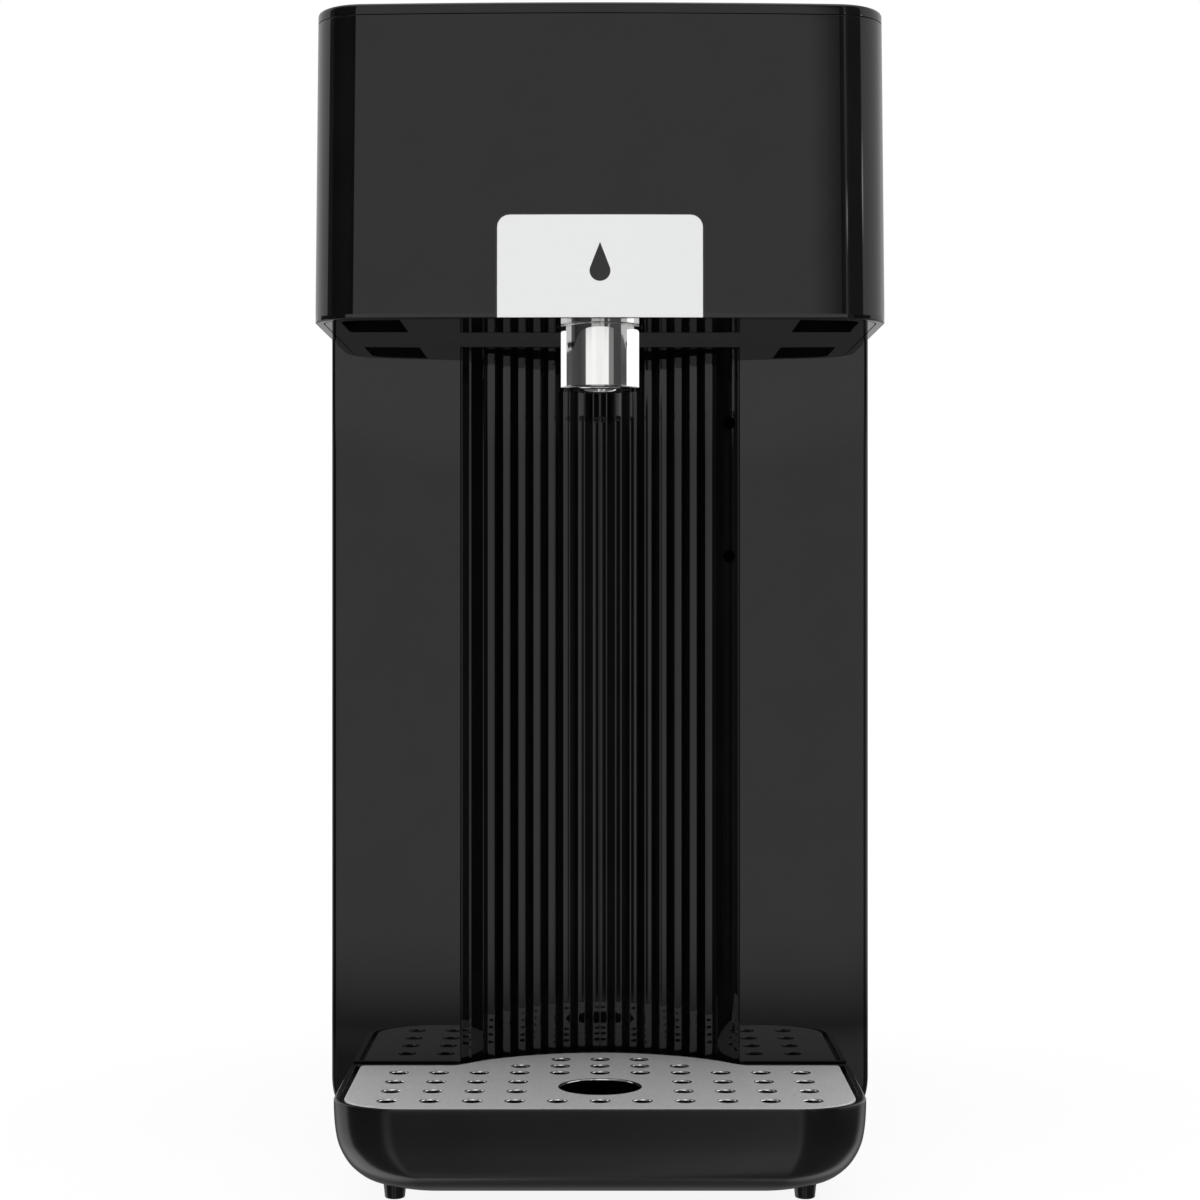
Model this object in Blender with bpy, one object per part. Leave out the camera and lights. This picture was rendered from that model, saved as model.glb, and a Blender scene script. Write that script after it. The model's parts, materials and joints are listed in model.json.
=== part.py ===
"""Countertop water dispenser: a slim gloss-black column with an overhanging head,
a chrome spout, a fluted alcove, a lift-off tank behind and a pull-out drip tray.

Frame: +Z up, front towards -Y, +X to the right as seen from the front.
The origin is the middle of the footprint at counter level.
Dimensions are written in millimetres and turned to metres by MM.
"""
import math

import bmesh
import bpy
from mathutils import Vector

MM = 0.001
GAP = 0.3                     # working gap between two pieces that touch

# ---- overall -------------------------------------------------------------
HALF_W = 75.0                 # half width of column and head
TOP_Z = 312.0
FRONT_Y = -125.0              # front of the drip tray
BACK_Y = 125.0                # back of the tank

# ---- column --------------------------------------------------------------
PANEL_Y = -63.0               # front face of the column
PANEL_T = 2.5
COLUMN_BACK = 35.5
COLUMN_WALL = 2.2
SEAM_Z = 24.0                 # joint between base pan and column
PAN_Z = 4.0                   # underside of the base pan
PAN_R = 20.0                  # rounding of the long lower edges
PAN_WALL = 2.4
PAN_BACK = 123.0

# ---- alcove --------------------------------------------------------------
ALCOVE_HALF = 38.8
ALCOVE_TOP = 228.7
RIB_PITCH = 4.25
RIB_COUNT = 8                 # each side of the middle
RIB_R = 46.0
RIB_DEPTH = 21.0              # of the middle rib, behind the panel face
RIB_GROOVE = 1.8
RIB_VEE = 1.06                # depth of the V between two ribs
INSERT_T = 1.8
FLANK = ((2.8, 38.6), (3.5, 37.8), (3.7, 37.1), (6.4, 34.6), (9.6, 32.35))

# ---- head ----------------------------------------------------------------
HEAD_Z = 230.0
HEAD_FRONT = -115.7
HEAD_R = 13.3                 # corners in plan
HEAD_BULGE_R = 1000.0
HEAD_WALL = 2.2
HEAD_NARROW = 0.6             # per side, bottom to top
HEAD_LEAN = 1.8               # of the front face, bottom to top
HEAD_TOP = 308.8
PLATE_Z = 309.1               # underside of the touch panel plate
UNDERSIDE_T = 2.5
VENT_X = (52.0, 67.8)
VENT_Y = (-110.9, -81.9)
VENT_DEEP = 14.0
BADGE_HALF = 26.55
BADGE_TOP = 256.7
BADGE_R = 3.2

# ---- spout ---------------------------------------------------------------
SPOUT_Y = -95.3
SPOUT_R = 10.375
SPOUT_LIP_R = 11.1
SPOUT_Z = 213.3
NOZZLE_R = 6.9
COLLAR_R = 14.0

# ---- drip tray and grille --------------------------------------------------
TRAY_HALF = 69.2
TRAY_TOP = 28.0
TRAY_CORNER = (19.0, 15.3)
GRILLE_HALF = 66.9
GRILLE_FRONT = -124.1
GRILLE_REAR = -66.5
GRILLE_T = 1.0
BULGE_R = 52.0
BULGE_DEPTH = 15.2            # of the rear bulge, behind the panel face
HOLE_R = 1.9
HOLE_PITCH = 11.0
DRAIN_R = 10.65
DRAIN_Y = PANEL_Y - 32.8
PEG_X, PEG_Y = 54.0, -105.0

# ---- tank ------------------------------------------------------------------
TANK_HALF = 73.5
TANK_FRONT = 36.6
TANK_Z = 24.3
TANK_RIM = 303.0
TANK_R = 18.0
TANK_WALL = 2.4
VALVE_Y = 80.0
HINGE_Y, HINGE_Z, HINGE_R = 120.2, 307.5, 4.2
FLOAT_X, FLOAT_Y = -45.0, 62.0

# ---- insides ---------------------------------------------------------------
PUMP_X, PUMP_Y = 40.0, -5.0
HEATER_X, HEATER_Y = -36.0, -4.0
HEATER_R = 17.0

for old in list(bpy.data.objects):
    bpy.data.objects.remove(old, do_unlink=True)
for old in list(bpy.data.meshes):
    if not old.users:
        bpy.data.meshes.remove(old)

scene_objects = bpy.context.scene.collection.objects


# ---- materials -------------------------------------------------------------
def material(name, colour, roughness, metallic=0.0, alpha=1.0):
    made = bpy.data.materials.new(name)
    made.use_nodes = True
    shader = made.node_tree.nodes["Principled BSDF"]
    shader.inputs["Base Color"].default_value = (*colour, 1.0)
    shader.inputs["Roughness"].default_value = roughness
    shader.inputs["Metallic"].default_value = metallic
    shader.inputs["Alpha"].default_value = alpha
    made.diffuse_color = (*colour, alpha)
    return made


GLOSS = material("gloss_black", (0.006, 0.006, 0.007), 0.05)
MATT = material("matt_black", (0.02, 0.02, 0.022), 0.5)
SILVER = material("satin_badge", (0.83, 0.84, 0.85), 0.3, 0.6)
CHROME = material("chrome", (0.85, 0.85, 0.84), 0.06, 1.0)
STEEL = material("brushed_steel", (0.55, 0.54, 0.52), 0.3, 1.0)
SMOKE = material("smoked_tank", (0.12, 0.13, 0.14), 0.08, 0.0, 0.45)
WHITE = material("white_plastic", (0.8, 0.8, 0.78), 0.45)
RUBBER = material("rubber", (0.03, 0.03, 0.03), 0.8)
SILICONE = material("silicone", (0.75, 0.76, 0.76), 0.4)
BOARD = material("circuit_board", (0.02, 0.16, 0.07), 0.4)
BRASS = material("brass", (0.7, 0.52, 0.25), 0.3, 1.0)
ALLOY = material("aluminium", (0.75, 0.76, 0.77), 0.35, 1.0)
LENS = material("sensor_window", (0.01, 0.008, 0.012), 0.05)


# ---- bodies: one empty each, standing on its joint's axis ---------------------
def empty(name, at=(0, 0, 0), parent=None):
    made = bpy.data.objects.new(name, None)
    made.empty_display_size = 0.02
    scene_objects.link(made)
    made.parent = parent
    made.location = Vector(at) * MM - (world(parent) if parent else Vector())
    return made


def world(obj):
    total = Vector()
    while obj is not None:
        total += obj.location
        obj = obj.parent
    return total


HOUSING = empty("housing_origin")
PUMP_ROTOR = empty("pump_rotor_axis", (PUMP_X, PUMP_Y, 60), HOUSING)
TANK = empty("tank_origin", (0, VALVE_Y, TANK_Z), HOUSING)
LID = empty("lid_axis", (0, HINGE_Y, HINGE_Z), TANK)
POPPET = empty("poppet_axis", (0, VALVE_Y, 15.3), TANK)
FLOAT = empty("float_axis", (FLOAT_X, FLOAT_Y, 29.3), TANK)
TRAY = empty("tray_origin", (0, FRONT_Y, 0), HOUSING)
GRILLE = empty("grille_origin", (0, DRAIN_Y, TRAY_TOP), TRAY)


# ---- modelling helpers -------------------------------------------------------
def finish(name, bm, look, parent, angle=35.0):
    """Millimetre bmesh to an object whose origin is its parent's."""
    bmesh.ops.recalc_face_normals(bm, faces=bm.faces)
    at = world(parent) if parent else Vector()
    for v in bm.verts:
        v.co = v.co * MM - at
    mesh = bpy.data.meshes.new(name)
    bm.to_mesh(mesh)
    bm.free()
    mesh.shade_smooth()
    mesh.set_sharp_from_angle(angle=math.radians(angle))
    if look:
        mesh.materials.append(look)
    made = bpy.data.objects.new(name, mesh)
    scene_objects.link(made)
    made.parent = parent
    return made


def stack(name, rings, look=None, parent=None, closed=False, angle=35.0):
    """Rings of equal count joined one to the next, the two ends capped."""
    bm = bmesh.new()
    rows = [[bm.verts.new(p) for p in ring] for ring in rings]
    count = len(rows[0])
    pairs = list(zip(rows, rows[1:]))
    if closed:
        pairs.append((rows[-1], rows[0]))
    for low, high in pairs:
        for i in range(count):
            j = (i + 1) % count
            bm.faces.new((low[i], low[j], high[j], high[i]))
    if not closed:
        bm.faces.new(rows[0][::-1])
        bm.faces.new(rows[-1])
    return finish(name, bm, look, parent, angle)


def prism(name, outline, low, high, look=None, parent=None, axis="z", angle=35.0):
    """An outline extruded along one axis: (x, y) for z, (x, z) for y, (y, z) for x."""
    place = {
        "z": lambda a, b, c: (a, b, c),
        "y": lambda a, b, c: (a, c, b),
        "x": lambda a, b, c: (c, a, b),
    }[axis]
    rings = [[place(a, b, c) for a, b in outline] for c in (low, high)]
    return stack(name, rings, look, parent, angle=angle)


def block(name, x, y, z, look=None, parent=None, bevel=0.0):
    made = prism(name, [(x[0], y[0]), (x[1], y[0]), (x[1], y[1]), (x[0], y[1])],
                 z[0], z[1], look, parent)
    if bevel:
        edge = made.modifiers.new("edge", "BEVEL")
        edge.width = bevel * MM
        edge.segments = 1
        edge.limit_method = "ANGLE"
    return made


def turned(name, profile, centre, look=None, parent=None, axis=(0, 0, 1),
           steps=24, ring=False, angle=35.0):
    """A profile of (radius, height) turned about an axis through centre."""
    line = Vector(axis).normalized()
    side = line.orthogonal().normalized() if abs(line.z) < 0.999 else Vector((1, 0, 0))
    other = line.cross(side)
    centre = Vector(centre)
    bm = bmesh.new()
    columns = []
    middle = {}
    for s in range(steps):
        turn = 2 * math.pi * s / steps
        out = side * math.cos(turn) + other * math.sin(turn)
        column = []
        for k, (r, h) in enumerate(profile):
            if r < 1e-9:
                if k not in middle:
                    middle[k] = bm.verts.new(centre + line * h)
                column.append(middle[k])
            else:
                column.append(bm.verts.new(centre + line * h + out * r))
        columns.append(column)
    spans = len(profile) if ring else len(profile) - 1
    for s in range(steps):
        a, b = columns[s], columns[(s + 1) % steps]
        for k in range(spans):
            m = (k + 1) % len(profile)
            corners = []
            for v in (a[k], b[k], b[m], a[m]):
                if v not in corners:
                    corners.append(v)
            if len(corners) > 2:
                bm.faces.new(corners)
    return finish(name, bm, look, parent, angle)


def boolean(target, operation, *tools):
    for tool in tools:
        step = target.modifiers.new(tool.name, "BOOLEAN")
        step.operation = operation
        step.solver = "EXACT"
        step.object = tool
        tool.hide_render = True
        tool.display_type = "WIRE"
    return target


def cut(target, *tools):
    return boolean(target, "DIFFERENCE", *tools)


def join(target, *tools):
    return boolean(target, "UNION", *tools)


def smooth_route(points, per_span=5):
    """Catmull-Rom points through a hose's own points."""
    pts = [Vector(p) for p in points]
    pts = [2 * pts[0] - pts[1]] + pts + [2 * pts[-1] - pts[-2]]
    out = []
    for i in range(1, len(pts) - 2):
        for k in range(per_span):
            t = k / per_span
            a, b, c, d = pts[i - 1:i + 3]
            out.append(0.5 * (2 * b + (c - a) * t + (2 * a - 5 * b + 4 * c - d) * t * t
                              + (3 * b - a - 3 * c + d) * t ** 3))
    out.append(pts[-2])
    return out


def tube(name, points, radius, look, parent, resolution=1):
    """A round rod along a line of points, both ends filled."""
    curve = bpy.data.curves.new(name, "CURVE")
    curve.dimensions = "3D"
    at = world(parent)
    spline = curve.splines.new("POLY")
    spline.points.add(len(points) - 1)
    for knot, p in zip(spline.points, points):
        knot.co = (*(Vector(p) * MM - at), 1.0)
    curve.bevel_depth = radius * MM
    curve.bevel_resolution = resolution
    curve.use_fill_caps = True
    curve.materials.append(look)
    made = bpy.data.objects.new(name, curve)
    scene_objects.link(made)
    made.parent = parent
    return made


def arc(cx, cy, rx, ry, start, end, count):
    """count + 1 points of an ellipse's arc, angles in degrees."""
    return [(cx + rx * math.cos(math.radians(start + (end - start) * k / count)),
             cy + ry * math.sin(math.radians(start + (end - start) * k / count)))
            for k in range(count + 1)]


def mirrored(half):
    """A right-hand half outline, completed across x = 0."""
    return half + [(-x, y) for x, y in reversed(half)]


def at_height(outline, z):
    return [(x, y, z) for x, y in outline]


# ---- shared outlines -----------------------------------------------------------
def head_front(x, z):
    return (HEAD_FRONT + x * x / (2 * HEAD_BULGE_R)
            + HEAD_LEAN * (z - HEAD_Z) / (TOP_Z - HEAD_Z))


def head_outline(inset, z, back=COLUMN_BACK, back_inset=None):
    """Plan of the head at a height, drawn inwards by inset."""
    half = HALF_W - HEAD_NARROW * (z - HEAD_Z) / (TOP_Z - HEAD_Z) - inset
    radius = max(HEAD_R - inset, 2.0)
    flat = half - radius
    rear = back - (inset if back_inset is None else back_inset)
    right = [(flat * k / 4, head_front(flat * k / 4, z) + inset) for k in range(1, 4)]
    right += arc(flat, head_front(flat, z) + inset + radius, radius, radius, -90, 0, 6)
    right += [(half, rear - 1.5), (half - 1.5, rear)]
    left = [(-x, y) for x, y in reversed(right)]
    return [(0.0, head_front(0, z) + inset)] + right + left


def rib_depth(x):
    return RIB_DEPTH - (RIB_R - math.sqrt(RIB_R ** 2 - x * x))


def alcove_face():
    """Right half of the alcove's visible line, from the middle outwards."""
    line = []
    for n in range(RIB_COUNT):
        a, b, c = n * RIB_PITCH, (n + 0.5) * RIB_PITCH, (n + 1) * RIB_PITCH
        face = PANEL_Y + rib_depth((n + 0.25) * RIB_PITCH)
        if n:
            line.append((a, face))
        line.append((b, face))
        if n < RIB_COUNT - 1:
            line.append(((b + c) / 2, PANEL_Y + rib_depth((n + 0.75) * RIB_PITCH) + RIB_VEE))
    line += [(x, PANEL_Y + d) for d, x in reversed(FLANK)]
    return line


def rear_line(shift):
    """Right half of the tray's and grille's rear edge, from the middle out to x = 41.5."""
    def depth(x):
        return BULGE_DEPTH - BULGE_R + math.sqrt(BULGE_R ** 2 - x * x)

    line = [(x, PANEL_Y + depth(x) + shift) for x in (0.0, 8.0, 16.0, 24.0, 30.0, 33.0)]
    x0, x1 = 33.0, 41.5
    d0, d1 = depth(x0), GRILLE_REAR - PANEL_Y
    slope = -x0 / math.sqrt(BULGE_R ** 2 - x0 * x0) * (x1 - x0)
    for k in range(1, 5):
        t = k / 4
        d = ((2 * t ** 3 - 3 * t ** 2 + 1) * d0 + (t ** 3 - 2 * t ** 2 + t) * slope
             + (-2 * t ** 3 + 3 * t ** 2) * d1)
        line.append((x0 + (x1 - x0) * t, PANEL_Y + d + shift))
    return line


def tray_outline(half, front, rear_shift, corner=TRAY_CORNER, rear_r=2.0):
    """Plan of the tray or grille: rounded front corners and the bulge behind."""
    line = rear_line(rear_shift)
    rear = GRILLE_REAR + rear_shift
    right = line[1:]
    right += [(half - rear_r, rear), (half, rear - rear_r)]
    right += arc(half - corner[0], front + corner[1], corner[0], corner[1], 0, -90, 6)
    left = [(-x, y) for x, y in reversed(right)]
    return [line[0]] + right + left


def pan_outline(half, front, rear, radius, notch_half, notch_back):
    right = [(notch_half, notch_back), (notch_half, front), (half, front)]
    right += arc(half - radius, rear - radius, radius, radius, 0, 90, 5)
    return mirrored(right)


def tank_outline(inset, z_rear=BACK_Y):
    half = TANK_HALF - inset
    front, rear = TANK_FRONT + inset, z_rear - inset
    small, big = max(4.0 - inset, 1.0), max(TANK_R - inset, 3.0)
    right = arc(half - small, front + small, small, small, -90, 0, 2)
    right += arc(half - big, rear - big, big, big, 0, 90, 5)
    return mirrored(right)


# ================================ base ========================================
angles = [math.radians(a) for a in (0, 18, 36, 54, 72, 90)]
outer_rings, inner_rings = [], []
for a in angles:
    half = HALF_W - PAN_R + PAN_R * math.sin(a)
    outer_rings.append(at_height(pan_outline(
        half, PANEL_Y + PANEL_T + GAP, PAN_BACK - 0.15 * (HALF_W - half), 18.0, 46.6, -36.5),
        SEAM_Z - PAN_R * math.cos(a)))
    thin = PAN_R - PAN_WALL
    half = HALF_W - PAN_R + thin * math.sin(a)
    inner_rings.append(at_height(pan_outline(
        half, PANEL_Y + PANEL_T + GAP + PAN_WALL,
        PAN_BACK - PAN_WALL - 0.15 * (HALF_W - PAN_WALL - half), 15.6,
        46.6 + PAN_WALL, -36.5 + PAN_WALL),
        SEAM_Z - thin * math.cos(a)))
base_pan = stack("base_pan", outer_rings + inner_rings[::-1], MATT, HOUSING)
screw_spots = [(x, y) for x in (-52.0, 52.0) for y in (-22.0, 14.0)]
for n, (x, y) in enumerate(screw_spots):
    cut(base_pan, turned(f"cut_pan_screw_{n}", [(0, 2), (2.0, 2), (2.0, 10), (0, 10)],
                         (x, y, 0), steps=12, parent=HOUSING))
GROMMET = (-45.0, 13.6)
cut(base_pan, turned("cut_pan_grommet", [(0, 112), (5.6, 112), (5.6, 128), (0, 128)],
                     (GROMMET[0], 0, GROMMET[1]), axis=(0, 1, 0), steps=20, parent=HOUSING))

for n, (x, y) in enumerate(screw_spots):
    turned(f"base_screw_{n + 1}",
           [(0, 1.9), (3.0, 1.9), (3.4, 2.4), (3.4, 3.7), (1.6, 3.7), (1.6, 21), (0.6, 23), (0, 23)],
           (x, y, 0), ALLOY, HOUSING, steps=12)
for n, (x, y) in enumerate(((-51, -49), (51, -49), (-51, 108), (51, 108))):
    turned(f"rubber_foot_{n + 1}", [(0, 0), (4.8, 0), (5.5, 0.8), (5.5, 3.7), (0, 3.7)],
           (x, y, 0), RUBBER, HOUSING, steps=16)
turned("cord_grommet",
       [(3.4, 116.0), (6.4, 116.0), (6.4, 117.8), (5.0, 117.8), (5.0, 123.4), (7.4, 123.4),
        (7.0, 125.0), (3.4, 125.0)],
       (GROMMET[0], 0, GROMMET[1]), RUBBER, HOUSING, axis=(0, 1, 0), steps=20, ring=True)

# ================================ column ======================================
wall = [(-HALF_W, PANEL_Y + PANEL_T + GAP), (-HALF_W, COLUMN_BACK - 1.5),
        (-HALF_W + 1.5, COLUMN_BACK), (HALF_W - 1.5, COLUMN_BACK), (HALF_W, COLUMN_BACK - 1.5),
        (HALF_W, PANEL_Y + PANEL_T + GAP),
        (HALF_W - COLUMN_WALL, PANEL_Y + PANEL_T + GAP),
        (HALF_W - COLUMN_WALL, COLUMN_BACK - COLUMN_WALL),
        (-HALF_W + COLUMN_WALL, COLUMN_BACK - COLUMN_WALL),
        (-HALF_W + COLUMN_WALL, PANEL_Y + PANEL_T + GAP)]
prism("column_shell", wall, SEAM_Z + GAP, HEAD_Z - GAP, GLOSS, HOUSING)

low = PAN_Z + GAP
reach = math.sqrt(PAN_R ** 2 - (SEAM_Z - low) ** 2)
first = math.degrees(math.atan2(reach, SEAM_Z - low))
right = [(ALCOVE_HALF, low)]
right += [(HALF_W - PAN_R + PAN_R * math.sin(math.radians(t)),
           SEAM_Z - PAN_R * math.cos(math.radians(t)))
          for t in [first + (90 - first) * k / 7 for k in range(8)]]
right += [(HALF_W, HEAD_Z - GAP)]
outline = [(ALCOVE_HALF, ALCOVE_TOP)] + right
front_panel = prism("front_panel", mirrored(outline), PANEL_Y, PANEL_Y + PANEL_T,
                    GLOSS, HOUSING, axis="y")
rim = front_panel.modifiers.new("soft_rim", "BEVEL")
rim.width = 0.5 * MM
rim.segments = 1
rim.limit_method = "ANGLE"
rim.angle_limit = math.radians(60)

# ---- fluted alcove lining -------------------------------------------------
visible = alcove_face()
backing = [(x, PANEL_Y + rib_depth(x) + RIB_GROOVE + INSERT_T)
           for x in (31.0, 26.0, 20.0, 13.0, 6.0)]
flange = [(46.0, PANEL_Y + 2.8), (46.0, PANEL_Y + 4.8), (41.2, PANEL_Y + 4.8),
          (39.6, PANEL_Y + 6.6), (37.6, PANEL_Y + 9.0), (34.6, PANEL_Y + 10.9)]
loop = visible + flange + backing
loop = loop + [(-x, y) for x, y in reversed(loop)]
fluted_insert = prism("fluted_insert", loop, PAN_Z + GAP, HEAD_Z - 1.6, GLOSS, HOUSING)
roof = [(38.9, PANEL_Y + 3.1), (38.9, PANEL_Y + 5.6), (36.6, PANEL_Y + 8.2)] + [
    (x, PANEL_Y + rib_depth(x) + RIB_GROOVE + 0.9) for x in (33.0, 26.0, 18.0, 9.0)]
join(fluted_insert, prism("add_alcove_roof", mirrored(roof), HEAD_Z - 3.2, HEAD_Z - 1.9,
                          parent=HOUSING))
LENS_X, LENS_Y = 36.3, PANEL_Y + 3.6
LENS_AXIS = Vector((-0.17, -0.985, 0)).normalized()
for n, z in enumerate((207.0, 169.6)):
    spot = (LENS_X, LENS_Y, z)
    cut(fluted_insert, turned(f"cut_lens_{n}", [(0, -10), (1.95, -10), (1.95, 3), (0, 3)], spot,
                              axis=LENS_AXIS, steps=14, parent=HOUSING))
    turned(f"sensor_lens_{('upper', 'lower')[n]}",
           [(0, -7.0), (1.8, -7.0), (1.8, -0.25), (1.55, 0), (0, 0)], spot, LENS, HOUSING,
           axis=LENS_AXIS, steps=14)
block("sensor_board", (47.0, 48.4), (-56.0, -40.0), (160.0, 217.0), BOARD, HOUSING)

# ================================ head ========================================
shell_rings = [at_height(head_outline(0, z), z) for z in (HEAD_Z, HEAD_TOP)]
shell_rings += [at_height(head_outline(HEAD_WALL, z), z) for z in (HEAD_TOP, HEAD_Z)]
head_shell = stack("head_shell", shell_rings, GLOSS, HOUSING, closed=True)


def badge_slab(name, half, bottom, top, radius, near, far, look=None):
    outline = [(half, bottom)] + arc(half - radius, top - radius, radius, radius, 0, 90, 3)
    rings = []
    for offset in (near, far):
        rings.append([(x, head_front(0, z) + 0.2 + offset, z) for x, z in mirrored(outline)])
    return stack(name, rings, look, HOUSING)


cut(head_shell, badge_slab("cut_badge_pocket", BADGE_HALF + GAP, HEAD_Z - 2, BADGE_TOP + GAP,
                           BADGE_R, -3.0, 1.3))
badge_slab("badge_plate", BADGE_HALF, HEAD_Z + 0.1, BADGE_TOP, BADGE_R, -0.1, 1.0, SILVER)

plate = head_outline(HEAD_WALL + GAP, HEAD_Z, back=PANEL_Y + PANEL_T, back_inset=0)
head_underside = prism("head_underside", plate, HEAD_Z, HEAD_Z + UNDERSIDE_T, GLOSS, HOUSING)


def vent_outline(side, grow):
    x0, x1 = VENT_X[0] - grow, VENT_X[1] + grow
    y0, y1 = VENT_Y[0] - grow * 0.5, VENT_Y[1] + grow
    shape = [(x0, y1), (x0, y0), (x1 - 6.5, y0 + 0.9)]
    shape += arc(x1 - 5.0, y0 + 6.2, 5.0, 5.0, -75, 0, 4) + [(x1, y1)]
    return [(x * side, y) for x, y in shape]


for side, word in ((-1, "left"), (1, "right")):
    join(head_underside, prism(f"add_vent_{word}", vent_outline(side, 1.1), HEAD_Z + 1.0,
                               HEAD_Z + VENT_DEEP, parent=HOUSING))
for side, word in ((-1, "left"), (1, "right")):
    cut(head_underside, prism(f"cut_vent_{word}", vent_outline(side, 0), HEAD_Z - 2,
                              HEAD_Z + VENT_DEEP - 1.4, parent=HOUSING))
cut(head_underside, turned("cut_spout_hole", [(0, 225), (COLLAR_R + GAP, 225),
                                              (COLLAR_R + GAP, 238), (0, 238)],
                           (0, SPOUT_Y, 0), parent=HOUSING, steps=32))

steps = ((PLATE_Z, 0.0), (310.9, 0.0), (311.6, 0.35), (TOP_Z, 1.2))
stack("control_panel", [at_height(head_outline(i, z, back_inset=i), z) for z, i in steps],
      GLOSS, HOUSING)
block("control_board", (-56.0, 56.0), (-100.0, -24.0), (304.0, 305.6), BOARD, HOUSING)

# ---- spout ----------------------------------------------------------------
turned("spout_sleeve",
       [(7.9, SPOUT_Z), (SPOUT_LIP_R - 0.5, SPOUT_Z), (SPOUT_LIP_R, SPOUT_Z + 0.4),
        (SPOUT_LIP_R, SPOUT_Z + 1.2), (SPOUT_R, SPOUT_Z + 1.6), (SPOUT_R, 236.0), (7.9, 236.0)],
       (0, SPOUT_Y, 0), CHROME, HOUSING, ring=True, steps=32)
turned("spout_nozzle",
       [(5.2, SPOUT_Z + 0.6), (NOZZLE_R, SPOUT_Z + 0.6), (7.5, SPOUT_Z + 3), (7.5, 237.5),
        (5.2, 237.5)],
       (0, SPOUT_Y, 0), SILICONE, HOUSING, ring=True)
turned("spout_collar",
       [(SPOUT_R + GAP, 230.5), (COLLAR_R, 230.5), (COLLAR_R, 233.5), (SPOUT_R + GAP, 233.5)],
       (0, SPOUT_Y, 0), MATT, HOUSING, ring=True, steps=32)
chamber = turned("outlet_chamber",
                 [(0, 265.6), (12.5, 265.6), (12.5, 237.9), (15.0, 237.9), (15.0, 268.0),
                  (0, 268.0)], (0, SPOUT_Y, 0), WHITE, HOUSING)
join(chamber, turned("add_chamber_barb", [(0, 13.8), (3.2, 13.8), (3.2, 24.0), (0, 24.0)],
                     (0, SPOUT_Y, 255), axis=(0, 1, 0), steps=12, parent=HOUSING))

# ================================ insides =====================================
frame_side = [(27.0, 28.0), (27.0, 222.0), (29.0, 222.0), (29.0, 26.0), (-31.0, 26.0), (-31.0, 28.0)]
inner_frame = prism("inner_frame", frame_side, -64.0, 64.0, WHITE, HOUSING, axis="x")
for n, (x, y) in enumerate(screw_spots):
    join(inner_frame, turned(f"add_post_{n}", [(0, 7.4), (4.2, 7.4), (4.2, 27), (0, 27)],
                             (x, y, 0), steps=12, parent=HOUSING))
for n, (x, y) in enumerate(screw_spots):
    cut(inner_frame, turned(f"cut_post_{n}", [(0, 5), (2.0, 5), (2.0, 23.4), (0, 23.4)],
                            (x, y, 0), steps=12, parent=HOUSING))
cut(inner_frame, turned("cut_hose_pass", [(0, 20), (7.0, 20), (7.0, 33), (0, 33)],
                        (PUMP_X, PUMP_Y, 0), steps=16, parent=HOUSING))

# ---- pump -----------------------------------------------------------------
at_pump = (PUMP_X, PUMP_Y, 0)
pump_volute = turned("pump_volute",
                     [(0, 31.2), (3.2, 31.2), (3.2, 37.0), (16.0, 37.0), (16.0, 55.0),
                      (12.6, 55.0), (12.6, 40.0), (0, 40.0)], at_pump, WHITE, HOUSING)
join(pump_volute, turned("add_pump_barb", [(0, 14.0), (3.2, 14.0), (3.2, 26.0), (0, 26.0)],
                         (PUMP_X, PUMP_Y, 47.0), axis=(-1, 0, 0), steps=12, parent=HOUSING))
turned("pump_motor_can",
       [(2.2, 55.3), (14.0, 55.3), (14.0, 90.0), (12.4, 90.0), (12.4, 57.0), (2.2, 57.0)],
       at_pump, STEEL, HOUSING, ring=True)
turned("pump_motor_cap", [(2.2, 90.3), (14.0, 90.3), (14.0, 92.2), (5.0, 94.0), (2.2, 94.0)],
       at_pump, MATT, HOUSING, ring=True)
turned("pump_shaft", [(0, 42.0), (1.5, 42.0), (1.5, 93.0), (0, 93.0)], at_pump, STEEL,
       PUMP_ROTOR, steps=12)
turned("motor_armature", [(1.85, 60.0), (11.4, 60.0), (11.4, 86.0), (1.85, 86.0)], at_pump, BRASS,
       PUMP_ROTOR, ring=True)
vanes = []
for n in range(6):
    for r, turn in ((4.4, -26), (4.4, -10), (11.4, 2), (11.4, 8), (4.8, 8)):
        a = math.radians(60 * n + turn)
        vanes.append((PUMP_X + r * math.cos(a), PUMP_Y + r * math.sin(a)))
impeller = prism("pump_impeller", vanes, 43.0, 52.0, WHITE, PUMP_ROTOR)
cut(impeller, turned("cut_impeller_bore", [(0, 40), (1.85, 40), (1.85, 56), (0, 56)], at_pump,
                     steps=12, parent=PUMP_ROTOR))

# ---- heater ---------------------------------------------------------------
at_heater = (HEATER_X, HEATER_Y, 0)
turned("heater_tube", [(0, 62.0), (HEATER_R, 62.0), (HEATER_R, 180.0), (0, 180.0)], at_heater,
       STEEL, HOUSING)
turned("heater_lower_cap", [(0, 43.0), (3.2, 43.0), (3.2, 50.0), (18.5, 50.0), (18.5, 61.7), (0, 61.7)],
       at_heater, MATT, HOUSING)
turned("heater_upper_cap",
       [(0, 180.3), (18.5, 180.3), (18.5, 192.0), (3.2, 192.0), (3.2, 199.0), (0, 199.0)],
       at_heater, MATT, HOUSING)
clamp = turned("heater_clamp", [(17.4, 114.0), (19.2, 114.0), (19.2, 126.0), (17.4, 126.0)],
               at_heater, ALLOY, HOUSING, ring=True)
join(clamp, block("add_clamp_tab", (-41.0, -31.0), (14.4, 26.6), (115.0, 125.0),
                  parent=HOUSING))
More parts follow.
